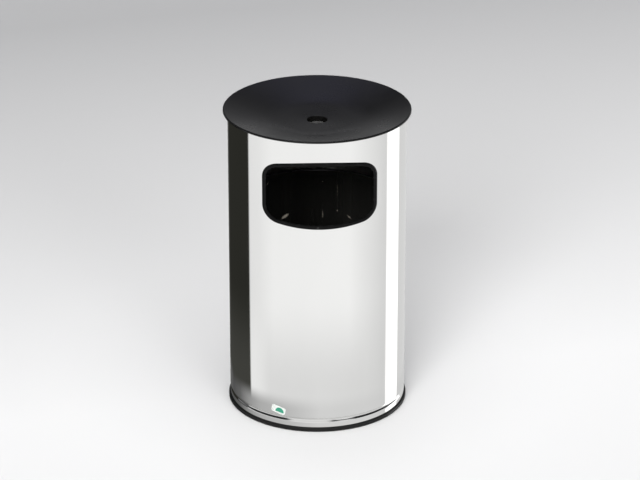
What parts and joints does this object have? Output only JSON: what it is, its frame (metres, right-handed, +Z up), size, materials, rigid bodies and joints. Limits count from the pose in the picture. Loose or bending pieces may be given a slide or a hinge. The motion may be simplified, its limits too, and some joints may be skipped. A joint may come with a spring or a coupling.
{
  "type": "ashtray bin",
  "caption": "Round sheet-metal litter bin with a side throw-in opening, a loose ash dish with a drop hole on top and a lift-out liner with a bail.",
  "frame": {"origin": "centre of the foot ring on the floor", "axes": "+Z up along the drum's axis, -Y out of the throw-in opening, +X to the right seen from the front"},
  "size_m": [0.4, 0.4, 0.67],
  "materials": {
    "polished_steel": "mirror polished",
    "plain_steel": "mill finish",
    "black_edging": "soft satin",
    "black_rubber": "satin",
    "sticker": "printed film",
    "black_coating": "satin powder coat",
    "liner_coating": "semi-gloss lacquer",
    "wire_steel": "zinc plated",
    "rivet_steel": "plain",
    "grip_plastic": "moulded"
  },
  "bodies": {
    "casing": {"body_shell": "polished_steel", "opening_trim": "black_edging", "floor_pan": "plain_steel", "base_ring": "black_rubber", "info_label": "sticker"},
    "ashtray": {"ash_dish": "black_coating", "centring_ring": "black_coating"},
    "liner": {"liner_wall": "liner_coating", "liner_floor": "liner_coating", "liner_rim_wire": "wire_steel", "left_ear": "liner_coating", "right_ear": "liner_coating", "left_ear_rivets": "rivet_steel", "right_ear_rivets": "rivet_steel"},
    "bail": {"bail": "wire_steel", "bail_grip": "grip_plastic"}
  },
  "joints": [
    {"name": "dish_lift", "type": "slide", "parent": "casing", "child": "ashtray", "axis": [0, 0, 1], "range_m": [0, 0.3]},
    {"name": "liner_lift", "type": "slide", "parent": "casing", "child": "liner", "axis": [0, 0, 1], "range_m": [0, 0.15]},
    {"name": "bail_swing", "type": "hinge", "parent": "liner", "child": "bail", "pos_m": [0, 0, 0.46], "axis": [-1, 0, 0], "range_deg": [0, 183]}
  ]
}
